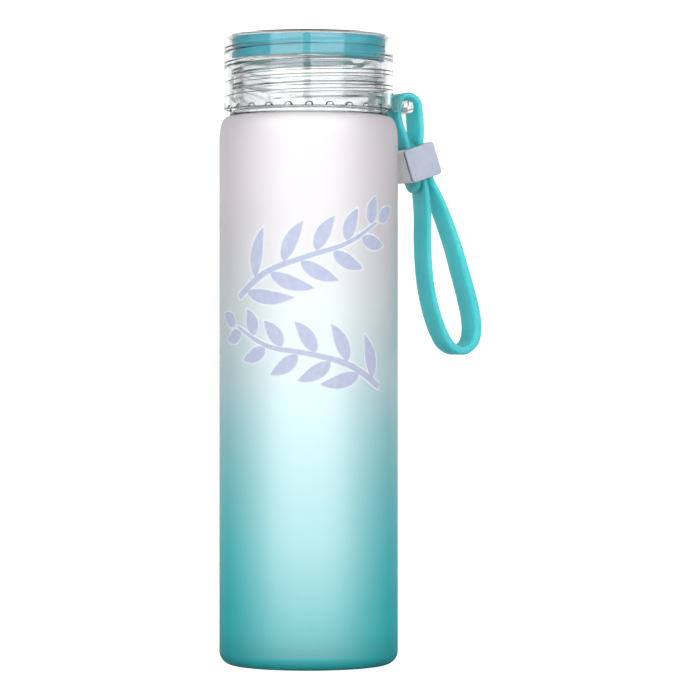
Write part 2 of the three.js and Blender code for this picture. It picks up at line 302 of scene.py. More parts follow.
def revolved(name, outline, around, materials, relief=None, band_slot=None, thread=None):
    """A closed outline of (radius, height) points turned about +Z. relief(angles, radius, height)
    gives the radii round a row, and band_slot(radius, height) the material slot of the band after it.
    thread holds helical_band's settings, and takes the place of the plain wall that starts at its low."""
    angles = np.arange(around) * TURN / around
    points, rows = [], []
    for radius, height in outline:
        if radius == 0:
            rows.append([len(points)] * around)
            points.append((0, 0, height))
            continue
        radii = relief(angles, radius, height) if relief else np.full(around, radius)
        rows.append(range(len(points), len(points) + around))
        points.extend(zip(radii * np.cos(angles), radii * np.sin(angles), np.full(around, height)))
    on_axis = outline[0][0] == 0
    faces, slots = [], []
    for i in range(len(rows) - (1 if on_axis else 0)):
        lower, upper = rows[i], rows[(i + 1) % len(rows)]
        if thread and outline[i] == (thread["wall"], thread["low"]):
            band = helical_band(points, lower, upper, **thread)
        else:
            ring = [(k, (k + 1) % around) for k in range(around)]
            band = [(lower[k], lower[n], upper[n], upper[k]) for k, n in ring]
        faces += [list(dict.fromkeys(corners)) for corners in band]
        slots += [band_slot(*outline[i]) if band_slot else 0] * len(band)
    return new_piece(name, points, faces, materials, slots)


def helical_band(points, lower, upper, wall, low, high, ridges, phase, side):
    """Faces of a straight wall between two rows. Their grid climbs with the thread, so that the crest
    and the flanks run along its lines. side is 1 for a ridge that stands outwards, -1 for inwards."""
    around = len(lower)
    root, crest = ridges[0]["root"] / 2, ridges[0]["crest"] / 2
    flank = np.linspace(crest, root, FLANK_STEPS)
    between = np.linspace(root, PITCH - root, WALL_STEPS + 2)[1:-1]
    offsets = np.concatenate([-flank[::-1], [0], flank, between])
    count = len(offsets)
    first = (math.floor((low - phase) / PITCH) - 2) * count
    last = (math.ceil((high - phase) / PITCH) + 2) * count
    angles = np.arange(around) * TURN / around
    strands = []
    for strand in range(first, last + 1):
        heights = phase + PITCH * (strand // count + angles / TURN) + offsets[strand % count]
        relief = np.max([ridge(angles, heights, one, phase) for one in ridges], axis=0)
        row = []
        for k, (angle, height, radius) in enumerate(zip(angles, heights, wall + side * relief)):
            if height < low + BAND_MARGIN:
                row.append(lower[k])
            elif height > high - BAND_MARGIN:
                row.append(upper[k])
            else:
                row.append(len(points))
                points.append((radius * math.cos(angle), radius * math.sin(angle), height))
        strands.append(row)
    faces = []
    for i in range(len(strands) - count - 1):
        for k in range(around):
            n = (k + 1) % around
            ahead = i if n else i + count
            corners = (strands[i][k], strands[ahead][n], strands[ahead + 1][n], strands[i + 1][k])
            if len(set(corners)) > 2:
                faces.append(corners)
    return faces


def ridge(angles, height, thread, phase):
    """How far a helical ridge stands out of its wall, at angles round one height."""
    off = height - phase - PITCH * angles / TURN
    across = (off + PITCH / 2) % PITCH - PITCH / 2
    centre = height - across
    turns_to_end = np.minimum(centre - thread["from"], thread["to"] - centre) / PITCH
    lead = np.clip((turns_to_end + THREAD_LEAD_IN / 2) / (1.5 * THREAD_LEAD_IN), 0, 1)
    flank = (thread["root"] / 2 - np.abs(across)) / ((thread["root"] - thread["crest"]) / 2)
    section = np.clip(flank, 0, 1)
    rounded = section * section * (3 - 2 * section)
    return thread["height"] * ((1 - RIDGE_SOFT) * section + RIDGE_SOFT * rounded) * lead


def prism(outline, from_y, to_y, round_over=0):
    """An (x, z) outline with a thickness along Y, as a bmesh. Its two rims may be rounded over."""
    solid = bmesh.new()
    rims = [[solid.verts.new(Vector((x, y, z)) * MM) for x, z in outline] for y in (from_y, to_y)]
    caps = [solid.faces.new(rim) for rim in rims]
    count = len(outline)
    for k in range(count):
        n = (k + 1) % count
        solid.faces.new((rims[0][k], rims[0][n], rims[1][n], rims[1][k]))
    bmesh.ops.recalc_face_normals(solid, faces=solid.faces)
    if round_over:
        edges = [edge for cap in caps for edge in cap.edges]
        bmesh.ops.bevel(solid, geom=edges, offset=round_over * MM, segments=BEVEL_STEPS, profile=0.5,
                        affect="EDGES")
    return solid


def piece_from(solid, name, material):
    """A mesh object from a bmesh."""
    mesh = bpy.data.meshes.new(name)
    solid.to_mesh(mesh)
    solid.free()
    mesh.materials.append(material)
    obj = bpy.data.objects.new(name, mesh)
    bpy.context.scene.collection.objects.link(obj)
    smooth(obj)
    return obj


def apply_modifiers(obj):
    """Makes what the modifiers show into the object's own mesh."""
    shown = obj.evaluated_get(bpy.context.evaluated_depsgraph_get())
    mesh = bpy.data.meshes.new_from_object(shown)
    obj.modifiers.clear()
    obj.data = mesh


def combine(obj, tool, operation):
    """Joins the tool to the object, or cuts it away, and removes the tool."""
    modifier = obj.modifiers.new("combine", "BOOLEAN")
    modifier.operation = operation
    modifier.solver = "EXACT"
    modifier.material_mode = "TRANSFER"
    modifier.object = tool
    apply_modifiers(obj)
    bpy.data.objects.remove(tool)


# ---------------------------------------------------------------- materials

def linear(colour):
    """A hex colour as linear red, green, blue and alpha."""
    parts = [int(colour[i:i + 2], 16) / 255 for i in (1, 3, 5)]
    return [p / 12.92 if p <= 0.04045 else ((p + 0.055) / 1.055) ** 2.4 for p in parts] + [1]


class Finish:
    """A Principled material under construction."""

    def __init__(self, name, **sockets):
        self.material = bpy.data.materials.new(name)
        self.material.use_nodes = True
        self.tree = self.material.node_tree
        self.shader = self.tree.nodes["Principled BSDF"]
        for socket, value in sockets.items():
            self.shader.inputs[socket.replace("_", " ")].default_value = value

    def node(self, kind, **settings):
        made = self.tree.nodes.new(kind)
        for key, value in settings.items():
            setattr(made, key, value)
        return made

    def link(self, output, target):
        self.tree.links.new(output, target)

    def place(self):
        """The point in the piece's own frame, in metres."""
        return self.node("ShaderNodeTexCoord").outputs["Object"]

    def noise(self, size, detail=2.0):
        """Noise with features about size millimetres across, from 0 to 1."""
        noise = self.node("ShaderNodeTexNoise")
        noise.inputs["Scale"].default_value = 1 / (size * MM)
        noise.inputs["Detail"].default_value = detail
        self.link(self.place(), noise.inputs["Vector"])
        return noise.outputs["Fac"]

    def ramp(self, factor, stops):
        """A colour ramp over (position, hex colour) stops."""
        ramp = self.node("ShaderNodeValToRGB")
        elements = ramp.color_ramp.elements
        while len(elements) < len(stops):
            elements.new(0.5)
        for element, (position, colour) in zip(elements, stops):
            element.position = position
            element.color = linear(colour)
        self.link(factor, ramp.inputs["Fac"])
        return ramp.outputs["Color"]

    def span(self, value, low, high, to_low=0.0, to_high=1.0):
        """The value's range from low to high made into the range from to_low to to_high."""
        span = self.node("ShaderNodeMapRange")
        ends = {"From Min": low, "From Max": high, "To Min": to_low, "To Max": to_high}
        for socket, number in ends.items():
            span.inputs[socket].default_value = number
        self.link(value, span.inputs["Value"])
        return span.outputs["Result"]

    def math(self, operation, first, second):
        """Two values put through a Math node. The second may be a number."""
        node = self.node("ShaderNodeMath", operation=operation)
        self.link(first, node.inputs[0])
        if isinstance(second, (int, float)):
            node.inputs[1].default_value = second
        else:
            self.link(second, node.inputs[1])
        return node.outputs["Value"]

    def shade(self, tone, darker, paler, high=0.7):
        """Base colour that goes from one hex colour to another with a noise."""
        self.link(self.ramp(tone, [(0.3, darker), (high, paler)]), self.shader.inputs["Base Color"])

    def roughen(self, grain, least, most, low=0.3, high=0.7):
        """Roughness that goes from least to most with a noise."""
        self.link(self.span(grain, low, high, least, most), self.shader.inputs["Roughness"])

    def height(self):
        """The height above the base, in metres."""
        split = self.node("ShaderNodeSeparateXYZ")
        self.link(self.place(), split.inputs["Vector"])
        return split.outputs["Z"]

    def mix(self, factor, first, second, blend):
        """Two colours mixed. A colour is an output, or a hex value."""
        mix = self.node("ShaderNodeMix", data_type="RGBA", blend_type=blend)
        colours = [s for s in mix.inputs if s.type == "RGBA"]
        for socket, colour in zip(colours, (first, second)):
            if isinstance(colour, str):
                socket.default_value = linear(colour)
            else:
                self.link(colour, socket)
        self.link(factor, mix.inputs[0])
        return next(s for s in mix.outputs if s.type == "RGBA")

    def bump(self, height, depth):
        """Relief of a depth in millimetres on the shader's normal."""
        bump = self.node("ShaderNodeBump")
        bump.inputs["Distance"].default_value = depth * MM
        self.link(height, bump.inputs["Height"])
        self.link(bump.outputs["Normal"], self.shader.inputs["Normal"])


def frosted_coat():
    """White frosting that fades into teal towards the base, with a broad pale sheen that is
    strongest in the middle of the bottle's height and fades out where the surface turns away."""
    finish = Finish("frosted_coat", IOR=1.45, Transmission_Weight=0.5, Coat_Roughness=0.55, Coat_IOR=3.95)
    facing = finish.node("ShaderNodeLayerWeight").outputs["Facing"]
    rise = finish.math("POWER", finish.span(finish.height(), 0, GLOSS_RISE * MM), 0.5)
    fall = finish.span(finish.height(), *[end * MM for end in GLOSS_FALL], 1.0, GLOSS_TOP)
    gloss = finish.math("MULTIPLY", finish.span(facing, 0.0, GLOSS_EDGE, 1.0, 0.0),
                        finish.math("MULTIPLY", rise, fall))
    finish.link(gloss, finish.shader.inputs["Coat Weight"])
    drift = finish.noise(38, 1.0)
    colour = finish.ramp(finish.span(finish.height(), 0, COAT_TOP * MM), COAT_FADE)
    mottled = finish.mix(finish.span(drift, 0.35, 0.7, 0, 0.12), colour, "#ffffff", "SOFT_LIGHT")
    finish.link(mottled, finish.shader.inputs["Base Color"])
    grain = finish.noise(0.35, 3.0)
    finish.roughen(grain, 0.44, 0.54)
    finish.bump(grain, 0.012)
    return finish.material


def clear_glass(name, least, most):
    """Uncoated glass between two roughnesses, with the faint waves that blowing leaves."""
    finish = Finish(name, IOR=1.5, Transmission_Weight=1.0, Base_Color=linear("#fbfefe"))
    finish.roughen(finish.noise(6), least, most)
    finish.bump(finish.noise(9, 1.0), 0.004)
    return finish.material


def clear_plastic():
    """Clear moulded plastic, with faint flow waves and fine scuffs."""
    finish = Finish("clear_plastic", IOR=1.49, Transmission_Weight=1.0, Base_Color=linear("#fdfefe"))
    finish.roughen(finish.noise(2.5, 4.0), 0.0, 0.05, 0.35, 0.75)
    finish.bump(finish.noise(7, 1.0), 0.003)
    return finish.material


def seal_silicone():
    """Teal translucent silicone."""
    finish = Finish("seal_silicone", IOR=1.41, Subsurface_Weight=0.4, Subsurface_Scale=0.002)
    tone = finish.noise(5, 2.0)
    finish.shade(tone, "#1ca8bb", "#2abaca")
    grain = finish.noise(0.3, 2.0)
    finish.roughen(grain, 0.3, 0.42)
    finish.bump(grain, 0.01)
    return finish.material


def strap_silicone():
    """Matt teal silicone, with a fine moulded grain and slightly paler, dustier patches."""
    finish = Finish("strap_silicone", IOR=1.41, Subsurface_Weight=1.0, Subsurface_Scale=0.012,
                    Subsurface_Radius=(0.3, 1.0, 1.0))
    tone = finish.noise(14, 3.0)
    finish.shade(tone, "#44b4bb", "#58c2c6", 0.72)
    grain = finish.noise(0.28, 3.0)
    finish.roughen(grain, 0.42, 0.56)
    finish.bump(grain, 0.018)
    return finish.material


def clip_plastic(name, darker, paler):
    """Pale moulded plastic, between two shades, with a fine spark-eroded grain. Its dark use on the
    cover's land is painted shade along the clip's seam.
    """
    finish = Finish(name, IOR=1.47, Subsurface_Weight=0.2, Subsurface_Scale=0.002)
    tone = finish.noise(4, 3.0)
    finish.shade(tone, darker, paler)
    grain = finish.noise(0.16, 2.0)
    finish.roughen(grain, 0.4, 0.52)
    finish.bump(grain, 0.012)
    return finish.material


def print_ink():
    """Pale lilac screen-printing ink, a little thinner in places."""
    finish = Finish("print_ink", IOR=1.45)
    tone = finish.noise(2.2, 4.0)
    finish.shade(tone, "#a3abc3", "#b0b7cc", 0.75)
    grain = finish.noise(0.3, 3.0)
    finish.roughen(grain, 0.5, 0.65)
    finish.bump(grain, 0.008)
    return finish.material


def outline_ink():
    """White ink under the lilac."""
    finish = Finish("outline_ink", IOR=1.45)
    tone = finish.noise(2.2, 3.0)
    finish.shade(tone, "#d2d6de", "#dadde4")
    finish.roughen(tone, 0.5, 0.65)
    return finish.material


# ---------------------------------------------------------------- pieces

def bottle_outline():
    """From the axis under the base, up the outside, over the lip and down the inside. Rows close beside
    a corner keep its shading crisp."""
    inside = BODY_RADIUS - BODY_WALL
    heel_centre = (inside - INNER_HEEL_RADIUS, FLOOR_THICKNESS + INNER_HEEL_RADIUS)
    return [
        (0, RECESS_DEPTH),
        *line((4, RECESS_DEPTH), (RECESS_RADIUS, RECESS_DEPTH), 4),
        (RECESS_RADIUS, RECESS_DEPTH),
        *line((RECESS_RADIUS + 0.2, RECESS_DEPTH - 0.04), (FOOT_INNER_RADIUS, 0), 3),
        (FOOT_INNER_RADIUS + 0.3, 0),
        *arc(FOOT_OUTER_RADIUS, HEEL_RADIUS, HEEL_RADIUS, -90, 0, 18),
        *line((BODY_RADIUS, HEEL_RADIUS + 2), (BODY_RADIUS, SHOULDER_START), 60),
        *shoulder(BODY_RADIUS, BEAD_RADIUS - 0.8, SHOULDER_START, SHOULDER_TOP, 26),
        *arc(BEAD_RADIUS - 0.4, SHOULDER_TOP + 0.6, 0.4, -40, 0, 3),
        *arc(BEAD_RADIUS - 0.6, BEAD_TOP - 0.6, 0.6, 0, 90, 5),
        (NECK_RADIUS + 0.5, BEAD_TOP + 0.1),
        (NECK_RADIUS + 0.12, BEAD_TOP + 0.2),
        (NECK_RADIUS, BEAD_TOP + 0.4),
        *arc(NECK_RADIUS - LIP_ROUND, MOUTH_TOP - LIP_ROUND, LIP_ROUND, 0, 90, 6),
        *arc(BORE_RADIUS + LIP_ROUND, MOUTH_TOP - LIP_ROUND, LIP_ROUND, 90, 180, 6),
        *line((BORE_RADIUS, MOUTH_TOP - 2), (BORE_RADIUS, BORE_START), 10),
        *reversed(shoulder(inside, BORE_RADIUS, SHOULDER_START, BORE_START, 24)),
        *line((inside, SHOULDER_START - 3), (inside, FLOOR_THICKNESS + INNER_HEEL_RADIUS), 50),
        *arc(*heel_centre, INNER_HEEL_RADIUS, 0, -90, 14),
        *line((inside - INNER_HEEL_RADIUS - 2, FLOOR_THICKNESS), (4, FLOOR_THICKNESS), 5),
        (0, FLOOR_THICKNESS),
    ]


def make_bottle(coat, glass, inner_glass):
    """The glass body, frosted outside up to the shoulder's top, and slightly hazy inside."""
    thread = {"wall": NECK_RADIUS, "low": BEAD_TOP + 0.4, "high": MOUTH_TOP - LIP_ROUND,
              "ridges": [NECK_THREAD], "phase": THREAD_PHASE, "side": 1}

    def slot(radius, height):
        wall = height < COAT_TOP and radius > BODY_RADIUS - BODY_WALL + 0.05
        if wall or height < FLOOR_THICKNESS and radius > RECESS_RADIUS:
            return 0
        return 2 if height > RECESS_DEPTH and (radius < BORE_RADIUS + 0.05 or height < COAT_TOP) else 1

    bottle = revolved("bottle_body", bottle_outline(), GLASS_STEPS, [coat, glass, inner_glass],
                      band_slot=slot, thread=thread)
    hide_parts("glass_bottle")
    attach(bottle, "bottle")


def cap_outline():
    """From the axis on top, down the outside, up the inside and round the spigot to the axis."""
    rows = round((NOTCH_TOP - CAP_BOTTOM) / SCALLOP_ROW)
    return [
        (0, CAP_TOP),
        *line((5, CAP_TOP), (CAP_RADIUS - CAP_ROUND, CAP_TOP), 5),
        *arc(CAP_RADIUS - CAP_ROUND, CAP_TOP - CAP_ROUND, CAP_ROUND, 90, 0, 12),
        *line((CAP_RADIUS, CAP_TOP - CAP_ROUND - 1), (CAP_RADIUS, CAP_BOTTOM + 1), 8),
        *arc(CAP_RADIUS - 0.5, CAP_BOTTOM + 0.5, 0.5, 0, -90, 5),
        *line((CAP_INNER_RADIUS, CAP_BOTTOM), (CAP_INNER_RADIUS, NOTCH_TOP), rows),
        (CAP_INNER_RADIUS, NOTCH_TOP),
        *arc(CAP_INNER_RADIUS - 0.6, CAP_CEILING - 0.6, 0.6, 0, 90, 5),
        *line((SPIGOT_OUTER_RADIUS + 2, CAP_CEILING), (SPIGOT_OUTER_RADIUS + 0.4, CAP_CEILING), 2),
        *arc(SPIGOT_OUTER_RADIUS + 0.3, CAP_CEILING - 0.3, 0.3, 90, 180, 3),
        *arc(SPIGOT_OUTER_RADIUS - 0.3, SPIGOT_BOTTOM + 0.3, 0.3, 0, -90, 3),
        *arc(SPIGOT_INNER_RADIUS + 0.3, SPIGOT_BOTTOM + 0.3, 0.3, -90, -180, 3),
        *arc(SPIGOT_INNER_RADIUS - 0.3, CAP_CEILING - 0.3, 0.3, 0, 90, 3),
        *line((SPIGOT_INNER_RADIUS - 2, CAP_CEILING), (4, CAP_CEILING), 4),
        (0, CAP_CEILING),
    ]


def notched(angles, radius, height):
    """The row of half-round notches in the skirt's lower inside edge."""
    if radius != CAP_INNER_RADIUS or height >= NOTCH_TOP:
        return np.full(len(angles), radius)
    pitch = TURN / SCALLOPS
    across = ((angles - SCALLOP_START + pitch / 2) % pitch - pitch / 2) * CAP_INNER_RADIUS
    reach = np.sqrt(across ** 2 + (height - CAP_BOTTOM) ** 2)
    depth = np.clip((SCALLOP_RADIUS - reach) / SCALLOP_FLANK, 0, 1)
    return radius + depth * (SCALLOP_REACH - CAP_INNER_RADIUS)


def lug_arm(side):
    """Outline and thickness of one arm of the lug."""
    end = BAR["x"] + BAR["width"] / 2 - BAR["round"]
    outline = [
        (ARM_ROOT_X, ARM_ROOT_BOTTOM),
        *arc(end, BAR["z"] - BAR["height"] / 2 + BAR["round"], BAR["round"], -90, 0, 6),
        *arc(end, BAR["z"] + BAR["height"] / 2 - BAR["round"], BAR["round"], 0, 90, 6),
        (BAR["x"] - BAR["width"] / 2, BAR["z"] + BAR["height"] / 2),
        (ARM_ROOT_X, ARM_ROOT_TOP),
    ]
    near, far = sorted((ARM_INNER * side, (ARM_INNER + ARM_THICKNESS) * side))
    return prism(outline, near, far, ARM_ROUND)


def make_cap(plastic):
    """The clear cap with its thread, spigot, notched skirt and lug, all one piece."""
    thread = {"wall": CAP_INNER_RADIUS, "low": NOTCH_TOP, "high": CAP_CEILING - 0.6,
              "ridges": [CAP_THREAD, CAP_LOW_THREAD], "phase": CAP_PHASE, "side": -1}
    cap = revolved("screw_cap", cap_outline(), CAP_STEPS, [plastic], notched, thread=thread)
    section = rounded_rectangle(BAR["x"], BAR["z"], BAR["width"], BAR["height"], BAR["round"])
    bar = piece_from(prism(section, -BAR_REACH, BAR_REACH), "lug_bar", plastic)
    slit_middle = BAR_SLIT["bottom"] + BAR["height"] / 2
    slit = rounded_rectangle(BAR["x"], slit_middle, BAR_SLIT["width"], BAR["height"], 0.2, 3)
    combine(bar, piece_from(prism(slit, -ARM_INNER, ARM_INNER), "lug_slit", plastic), "DIFFERENCE")
    arms = [piece_from(lug_arm(side), "lug_arm", plastic) for side in (1, -1)]
    for part in (*arms, bar):
        combine(cap, part, "UNION")
    smooth(cap)
    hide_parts("cap")
    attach(cap, "cap")


def make_seal(silicone):
    """The sealing ring, with a narrow groove round its outer side."""
    bottom, top = SEAL_LOW.z, SEAL_HIGH.z
    inner, outer, r = SEAL_INNER_RADIUS, SEAL_RADIUS, SEAL_ROUND
    middle, half, floor = SEAL_GROOVE["z"], SEAL_GROOVE["width"] / 2, outer - SEAL_GROOVE["depth"]
    outline = [
        *arc(inner + r, bottom + r, r, 180, 270, 6),
        *line((inner + 1, bottom), (outer - r, bottom), 4),
        *arc(outer - r, bottom + r, r, 270, 360, 6),
        *line((outer, bottom + 1), (outer, middle - half - 0.1), 4),
        *arc(outer - 0.1, middle - half - 0.1, 0.1, 0, 90, 3),
        (floor, middle - half),
        (floor, middle + half),
        *arc(outer - 0.1, middle + half + 0.1, 0.1, -90, 0, 3),
        *line((outer, middle + half + 0.4), (outer, top - 1), 4),
        *arc(outer - r, top - r, r, 0, 90, 6),
        *line((outer - 1, top), (inner + r, top), 4),
        *arc(inner + r, top - r, r, 90, 180, 6),
        *line((inner, top - 1), (inner, bottom + 1), 6),
    ]
    seal = revolved("sealing_ring", outline, SEAL_STEPS, [silicone])
    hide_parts("seal_ring")
    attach(seal, "seal")


def in_clip(across, up):
    """A point in the clip, across it and up it from its centre, in the strap's plane."""
    c, s = math.cos(CLIP["tilt"]), math.sin(CLIP["tilt"])
    return CLIP["x"] + across * c - up * s, CLIP["z"] + across * s + up * c


def layer(place):
    """One of the strap's three straight layers through the clip, from its bottom to its top."""
    reach = CLIP_HEIGHT / 2 + 0.4
    return [in_clip(place * LAYER_PITCH, up) for up in (-reach, 0, reach)]


def strap_route():
    """The strap's centre line, from its outer end up round the bar, round the hand loop and back up."""
    hand_loop = [
        (50.2, 165.7), (53.3, 159.4), (57.9, 147.9), (60.5, 139.8), (63.1, 131.6), (65, 124.4),
        (65.7, 118.4), (64.5, 113.4), (60, 110.4), (55.1, 112.5), (51.7, 117.8), (49.2, 124.2),
        (47.3, 131.3), (46.1, 139.6), (45.5, 150), (45.5, 159.6),
    ]
    return [
        (41.9, 166.9),
        *layer(-1),
        (36.2, 186.6),
        (34.3, 191.2),
        *arc(EYE["x"], EYE["z"], EYE["radius"], 195, -5, 8),
        (42.6, 191.2),
        (42.6, 187.2),
        *reversed(layer(1)),
        *hand_loop,
        (44.8, 167.4),
        *layer(0),
        in_clip(0, CLIP_HEIGHT / 2 + 2),
    ]


def centripetal(points, steps=24):
    """A centripetal Catmull-Rom curve through the points, as closely spaced points."""
    p = np.array([2 * np.array(points[0]) - points[1], *points, 2 * np.array(points[-1]) - points[-2]])
    made = []
    for i in range(1, len(p) - 2):
        knots = [0.0]
        for k in range(i - 1, i + 2):
            knots.append(knots[-1] + np.linalg.norm(p[k + 1] - p[k]) ** 0.5)
        t = np.linspace(knots[1], knots[2], steps, endpoint=False)[:, None]

        def between(a, b, start, end):
            return ((end - t) * a + (t - start) * b) / (end - start)

        a = [between(p[i - 1 + k], p[i + k], knots[k], knots[k + 1]) for k in range(3)]
        b = [between(a[k], a[k + 1], knots[k], knots[k + 2]) for k in range(2)]
        made.append(between(b[0], b[1], knots[1], knots[2]))
    return np.concatenate([*made, p[-2:-1]])


def make_strap(silicone):
    """The strap as one moulded band with rounded edges and rounded tongue ends."""
    dense = centripetal(strap_route())
    run = np.concatenate([[0], np.cumsum(np.linalg.norm(np.diff(dense, axis=0), axis=1))])
    length = run[-1]

    def at(places):
        return np.stack([np.interp(places, run, dense[:, k]) for k in range(2)], axis=1)

    tongue = STRAP_WIDTH / 2
    ends = tongue * (1 - np.cos(np.linspace(0.06, math.pi / 2, 12)))
    middle = np.linspace(tongue, length - tongue, STRAP_STEPS)[1:-1]
    stations = np.concatenate([ends, middle, length - ends[::-1]])
    along = at(stations + STRAP_SLOPE_REACH) - at(stations - STRAP_SLOPE_REACH)
    along /= np.linalg.norm(along, axis=1)[:, None]
    off = np.minimum(np.abs(stations - length * STRAP_SWELL_PLACE) / STRAP_SWELL_REACH, 1)
    thickness = STRAP_THICKNESS + STRAP_SWELL * (0.5 + 0.5 * np.cos(math.pi * off))
    to_end = np.minimum(stations, length - stations)
    narrowing = np.sqrt(1 - (1 - np.minimum(to_end / tongue, 1)) ** 2)
    rounding = np.sqrt(1 - (1 - np.minimum(to_end / STRAP_END_ROUND, 1)) ** 2)
    thinning = np.maximum(rounding, STRAP_END_LEAST)
    points, rows = [], []
    for (x, z), (dx, dz), thick, narrow, thin in zip(at(stations), along, thickness, narrowing, thinning):
        width, height = STRAP_WIDTH * narrow, thick * thin
        across, up = min(STRAP_SOFT, 0.49 * width), min(STRAP_ROUND, 0.49 * height)
        section = soft_rectangle(width, height, across, up)
        rows.append(range(len(points), len(points) + len(section)))
        points.extend((x - dz * out, across, z + dx * out) for across, out in section)
    faces = [tuple(rows[0]), tuple(reversed(rows[-1]))]
    for lower, upper in zip(rows, rows[1:]):
        for k in range(len(lower)):
            n = (k + 1) % len(lower)
            faces.append((lower[k], upper[k], upper[n], lower[n]))
    strap = new_piece("wrist_strap", points, faces, [silicone], crease=50)
    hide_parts("strap")
    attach(strap, "strap")


def set_in_clip(obj):
    """Moves a clip piece, drawn upright about its own centre, to the clip's place in its mesh."""
    move = Matrix.Translation(Vector((CLIP["x"], 0, CLIP["z"])) * MM)
    obj.data.transform(move @ Matrix.Rotation(-CLIP["tilt"], 4, "Y"))


def soften(obj, width):
    """Rounds over the edges that turn by more than SOFTENED degrees."""
    modifier = obj.modifiers.new("soften", "BEVEL")
    modifier.width = width * MM
    modifier.segments = BEVEL_STEPS
    modifier.limit_method = "ANGLE"
    modifier.angle_limit = math.radians(SOFTENED)
    apply_modifiers(obj)
    smooth(obj)


def make_clip(base_plastic, cover_plastic, painted_seam_shade):
    """The clip's base, a channel open to the front, and the cover plate that closes it."""
    outside = rounded_rectangle(0, 0, CLIP_WIDTH, CLIP_HEIGHT, CLIP_ROUND)
    channel = rounded_rectangle(0, 0, CHANNEL_WIDTH, CLIP_HEIGHT + 2, 0.2, 2)
    base = piece_from(prism(outside, -CHANNEL_BACK, CLIP_BACK), "clip_body", base_plastic)
    cut = piece_from(prism(channel, -CHANNEL_BACK - 1, CHANNEL_BACK), "clip_channel", base_plastic)
    combine(base, cut, "DIFFERENCE")
    soften(base, CLIP_BASE_SOFT)
    land_front = -CHANNEL_BACK - COVER_LAND
    plate = prism(outside, land_front - COVER_THICKNESS, land_front)
    cover = piece_from(plate, "clip_plate", cover_plastic)
    soften(cover, CLIP_COVER_SOFT)
    # The land fills the seam between cover and base, and its dark material is painted shade there.
    land = rounded_rectangle(0, 0, CLIP_WIDTH - 2 * LAND_INSET, CLIP_HEIGHT - 2 * LAND_INSET,
                             CLIP_ROUND - LAND_INSET, 4)
    land = prism(land, land_front - LAND_ROOT, -CHANNEL_BACK - LAND_GAP)
    combine(cover, piece_from(land, "clip_land", painted_seam_shade), "UNION")
    smooth(cover)
    for piece, node, body in ((base, "clip_base", "strap"), (cover, "clip_cover", "clip_cover")):
        set_in_clip(piece)
        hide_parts(node)
        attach(piece, body)


def leaf_stroke(root, heading, curl, length):
    """A curved leaf as centre-line points and half widths, pointed at both ends."""
    part = np.linspace(0, 1, LEAF_STEPS)
    turn = heading + curl * (part - 0.3)
    steps = np.stack([np.cos(turn), np.sin(turn)], axis=1) * length / (len(part) - 1)
    points = np.array(root) + np.cumsum(steps, axis=0) - steps[0]
    return points, LEAF_WIDTH / 2 * np.sin(math.pi * part ** 0.8) ** 0.8


def sprig_strokes(stem, length):
    """The strokes of one sprig: its stem, then leaves on alternate sides and one at the tip."""
    line_points = centripetal(stem, STEM_STEPS)
    run = np.concatenate([[0], np.cumsum(np.linalg.norm(np.diff(line_points, axis=0), axis=1))])
    share = run / run[-1]
    taper = (1 - 0.5 * share) * np.minimum(1, (1.02 - share) * 12) ** 0.5
    strokes = [(line_points, STEM_WIDTH / 2 * taper)]
    for i in range(SPRIG_LEAVES):
        place = 0.06 + 0.88 * i / (SPRIG_LEAVES - 1)
        root = np.array([np.interp(place, share, line_points[:, k]) for k in range(2)])
        ahead = np.array([np.interp(place + 0.02, share, line_points[:, k]) for k in range(2)]) - root
        side = 1 if i % 2 else -1
        heading = math.atan2(ahead[1], ahead[0]) + side * LEAF_LEAN
        start = root + LEAF_GAP * np.array([math.cos(heading), math.sin(heading)])
        reach = length[0] + (length[1] - length[0]) * place
        strokes.append(leaf_stroke(start, heading, -side * LEAF_CURL, reach))
    end = line_points[-1] - line_points[-4]
    heading = math.atan2(end[1], end[0])
    start = line_points[-1] + LEAF_GAP * np.array([math.cos(heading), math.sin(heading)])
    strokes.append(leaf_stroke(start, heading, 0, length[1]))
    return strokes


def wrapped(name, strokes, margin, bottom, top, material):
    """Strokes as thin closed patches on the body, widened by a margin, from one depth to another."""
    points, faces = [], []
    for centre, half in strokes:
        along = np.gradient(centre, axis=0)
        along /= np.linalg.norm(along, axis=1)[:, None]
        side = np.stack([-along[:, 1], along[:, 0]], axis=1)
        centre = centre.copy()
        centre[0] -= along[0] * margin
        centre[-1] += along[-1] * margin
        half = np.maximum(half + margin, STROKE_LEAST)
        rows, columns = len(centre), STROKE_COLUMNS
        place = np.linspace(-1, 1, columns)[None, :, None]
        flat = centre[:, None, :] + side[:, None, :] * half[:, None, None] * place
        angle = PRINT_ANGLE + flat[..., 0] / BODY_RADIUS
        base = len(points)
        for depth in (bottom, top):
            radius = BODY_RADIUS + depth
            x, y = radius * np.cos(angle), radius * np.sin(angle)
            points.extend(map(tuple, np.stack([x, y, flat[..., 1]], axis=-1).reshape(-1, 3)))
        size = rows * columns

        def at(row, column, upper):
            return base + upper * size + row * columns + column

        tail, edge = rows - 1, columns - 1
        for i in range(tail):
            for k in range(edge):
                faces.append((at(i, k, 1), at(i + 1, k, 1), at(i + 1, k + 1, 1), at(i, k + 1, 1)))
                faces.append((at(i, k, 0), at(i, k + 1, 0), at(i + 1, k + 1, 0), at(i + 1, k, 0)))
            faces.append((at(i, 0, 0), at(i + 1, 0, 0), at(i + 1, 0, 1), at(i, 0, 1)))
            faces.append((at(i, edge, 0), at(i, edge, 1), at(i + 1, edge, 1), at(i + 1, edge, 0)))
        for k in range(edge):
            faces.append((at(0, k, 0), at(0, k, 1), at(0, k + 1, 1), at(0, k + 1, 0)))
            faces.append((at(tail, k, 0), at(tail, k + 1, 0), at(tail, k + 1, 1), at(tail, k, 1)))
    piece = new_piece(name, points, faces, [material], crease=60)
    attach(piece, "bottle")


